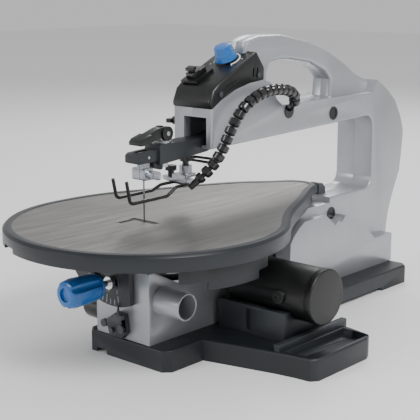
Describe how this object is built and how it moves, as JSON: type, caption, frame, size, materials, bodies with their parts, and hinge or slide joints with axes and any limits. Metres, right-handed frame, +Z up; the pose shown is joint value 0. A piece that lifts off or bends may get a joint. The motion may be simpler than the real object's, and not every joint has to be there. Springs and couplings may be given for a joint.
{
  "type": "scroll saw",
  "caption": "Bench scroll saw with a C-shaped frame, parallel arms, tilting round-front table, variable speed motor, air hose and hold-down foot.",
  "frame": {"origin": "centre of the bounding box on the bench, under the base", "axes": "+X towards the motor side, +Y from the blade to the back of the saw, +Z up"},
  "size_m": [0.364, 0.6355, 0.3425],
  "materials": {
    "silver_paint": "satin light grey enamel on a casting",
    "dark_paint": "satin blue-black enamel on a casting",
    "table_metal": "ground, fine streaks front to back",
    "dark_steel": "satin black sheet and cast parts",
    "motor_black": "semi-gloss black",
    "rim_plastic": "fine-grained moulding",
    "black_wire": "glossy black coated rod",
    "black_plastic": "fine-grained moulding",
    "gloss_black": "glossy moulding",
    "blue_plastic": "satin blue moulding",
    "insert_plastic": "smooth grey",
    "arm_metal": "as cast, lightly finished",
    "bright_steel": "zinc plated",
    "blade_steel": "ground spring steel",
    "clamp_steel": "nickel finish",
    "chrome": "polished",
    "bronze": "oiled sintered bronze",
    "board": "circuit board with a moulded control",
    "rubber": "matte",
    "winding": "laminations and wound copper",
    "key_plastic": "satin moulding"
  },
  "bodies": {
    "frame": {"base_casting": "dark_paint", "frame_right_half": "silver_paint", "frame_left_half": "silver_paint", "frame_screws": "dark_steel", "base_screws": "bright_steel", "pivot_plugs": "black_plastic", "fulcrum_pins": "bright_steel", "front_cover": "black_plastic", "cover_screws": "dark_steel", "switch_bezel": "black_plastic", "speed_control": "board", "bevel_stud": "chrome", "bevel_pointer": "dark_steel", "rear_pivot_bracket": "dark_steel", "dust_port": "silver_paint", "side_cap": "gloss_black", "air_bellows": "rubber", "hose_root": "gloss_black", "motor_can": "motor_black", "motor_stator": "winding", "motor_pedestal": "dark_paint", "power_inlet": "rubber"},
    "table": {"table_plate": "table_metal", "table_rim": "rim_plastic", "table_insert": "insert_plastic", "table_apron": "dark_paint", "front_trunnion": "dark_steel", "trunnion_screws": "bright_steel"},
    "upper_arm": {"upper_arm": "dark_steel", "upper_arm_bushing": "bronze", "blade_carrier": "dark_steel", "tension_washer": "bright_steel"},
    "lower_arm": {"lower_arm": "arm_metal", "lower_arm_pins": "bronze"},
    "rear_link": {"rear_link": "bright_steel", "rear_link_pins": "bright_steel"},
    "blade": {"blade": "blade_steel", "upper_blade_clamp": "clamp_steel", "lower_blade_clamp": "clamp_steel", "holder_pins": "bright_steel"},
    "upper_clamp_screw": {"upper_clamp_screw": "clamp_steel"},
    "lower_clamp_screw": {"lower_clamp_screw": "clamp_steel"},
    "tension_rod": {"tension_rod": "bright_steel"},
    "tension_lever": {"tension_lever": "black_plastic"},
    "hold_down": {"hold_down_rod": "black_wire", "foot_bracket": "clamp_steel", "foot_fork": "black_wire", "hose_clip": "black_wire"},
    "foot_knob": {"foot_knob": "black_plastic"},
    "rod_lock_knob": {"rod_lock_knob": "black_plastic"},
    "bevel_lock_knob": {"bevel_lock_knob": "blue_plastic"},
    "switch_rocker": {"switch_rocker": "gloss_black"},
    "safety_key": {"safety_key": "key_plastic"},
    "speed_dial": {"speed_dial": "blue_plastic"},
    "motor_rotor": {"motor_rotor": "winding"},
    "connecting_rod": {"connecting_rod": "arm_metal"},
    "hose_upper": {"hose_upper": "gloss_black"},
    "hose_middle": {"hose_middle": "gloss_black"},
    "hose_lower": {"hose_lower": "gloss_black"},
    "hose_nozzle": {"hose_nozzle": "gloss_black"}
  },
  "joints": [
    {"name": "motor_shaft", "type": "hinge", "parent": "frame", "child": "motor_rotor", "pos_m": [-0.024, -0.06975, 0.0745], "axis": [1, 0, 0], "range_deg": [-90, 90]},
    {"name": "upper_arm_pivot", "type": "hinge", "parent": "frame", "child": "upper_arm", "pos_m": [-0.024, 0.14835, 0.24], "axis": [1, 0, 0], "range_deg": [-1.75, 1.75]},
    {"name": "lower_arm_pivot", "type": "hinge", "parent": "frame", "child": "lower_arm", "pos_m": [-0.024, 0.14835, 0.1088], "axis": [1, 0, 0], "range_deg": [-1.75, 1.75]},
    {"name": "blade_pivot", "type": "hinge", "parent": "upper_arm", "child": "blade", "pos_m": [-0.024, -0.16475, 0.219], "axis": [1, 0, 0], "range_deg": [-1.75, 1.75]},
    {"name": "rear_link_pivot", "type": "hinge", "parent": "upper_arm", "child": "rear_link", "pos_m": [-0.01, 0.26725, 0.24], "axis": [1, 0, 0], "range_deg": [-1.75, 1.75]},
    {"name": "rod_pivot", "type": "hinge", "parent": "lower_arm", "child": "connecting_rod", "pos_m": [-0.012, -0.06975, 0.1015], "axis": [1, 0, 0], "range_deg": [-1.75, 1.75]},
    {"name": "table_tilt", "type": "hinge", "parent": "frame", "child": "table", "pos_m": [-0.024, -0.16475, 0.1375], "axis": [0, 1, 0], "range_deg": [-45, 5]},
    {"name": "bevel_lock_turn", "type": "hinge", "parent": "frame", "child": "bevel_lock_knob", "pos_m": [-0.024, -0.24075, 0.0885], "axis": [0, 1, 0], "range_deg": [0, 180]},
    {"name": "tension_rod_turn", "type": "hinge", "parent": "upper_arm", "child": "tension_rod", "pos_m": [-0.024, -0.13375, 0.2225], "axis": [0, 0, 1], "range_deg": [-90, 90]},
    {"name": "tension_lever_flip", "type": "hinge", "parent": "tension_rod", "child": "tension_lever", "pos_m": [-0.024, -0.13375, 0.2419], "axis": [1, 0, 0], "range_deg": [-100, 0]},
    {"name": "upper_clamp_turn", "type": "hinge", "parent": "blade", "child": "upper_clamp_screw", "pos_m": [-0.012, -0.16475, 0.2005], "axis": [1, 0, 0], "range_deg": [-90, 90]},
    {"name": "lower_clamp_turn", "type": "hinge", "parent": "blade", "child": "lower_clamp_screw", "pos_m": [-0.012, -0.16475, 0.1063], "axis": [1, 0, 0], "range_deg": [-90, 90]},
    {"name": "hold_down_slide", "type": "slide", "parent": "frame", "child": "hold_down", "axis": [0, 0, -1], "range_m": [-0.003, 0.02]},
    {"name": "foot_knob_turn", "type": "hinge", "parent": "hold_down", "child": "foot_knob", "pos_m": [-0.044, -0.10075, 0.1935], "axis": [0, 0, 1], "range_deg": [-90, 90]},
    {"name": "rod_lock_turn", "type": "hinge", "parent": "frame", "child": "rod_lock_knob", "pos_m": [-0.057, -0.07775, 0.2475], "axis": [1, 0, 0], "range_deg": [-90, 90]},
    {"name": "switch_toggle", "type": "hinge", "parent": "frame", "child": "switch_rocker", "pos_m": [-0.036, -0.06463, 0.29966], "axis": [1, 0, 0], "range_deg": [-8, 8]},
    {"name": "safety_key_pull", "type": "slide", "parent": "switch_rocker", "child": "safety_key", "axis": [0, -0.4226, 0.9063], "range_m": [0, 0.012]},
    {"name": "speed_dial_turn", "type": "hinge", "parent": "frame", "child": "speed_dial", "pos_m": [-0.024, -0.02684, 0.31563], "axis": [0, -0.4226, 0.9063], "range_deg": [-135, 135]},
    {"name": "hose_root_bend", "type": "hinge", "parent": "frame", "child": "hose_upper", "pos_m": [0.0155, 0.05275, 0.2645], "axis": [1, 0, 0], "range_deg": [-4, 4]},
    {"name": "hose_upper_bend", "type": "hinge", "parent": "hose_upper", "child": "hose_middle", "pos_m": [0.02644, -0.01473, 0.28183], "axis": [1, 0, 0], "range_deg": [-4, 4]},
    {"name": "hose_lower_bend", "type": "hinge", "parent": "hose_middle", "child": "hose_lower", "pos_m": [0.02267, -0.07321, 0.24269], "axis": [1, 0, 0], "range_deg": [-4, 4]},
    {"name": "hose_nozzle_bend", "type": "hinge", "parent": "hose_lower", "child": "hose_nozzle", "pos_m": [0.00301, -0.10191, 0.19051], "axis": [0, 0, 1], "range_deg": [-6, 6]}
  ],
  "couplings": [
    {"joint": "upper_arm_pivot", "follows": "motor_shaft", "ratio": 0.019333},
    {"joint": "lower_arm_pivot", "follows": "motor_shaft", "ratio": 0.019333},
    {"joint": "blade_pivot", "follows": "motor_shaft", "ratio": -0.019333},
    {"joint": "rear_link_pivot", "follows": "motor_shaft", "ratio": -0.019333},
    {"joint": "rod_pivot", "follows": "motor_shaft", "ratio": -0.019333}
  ]
}
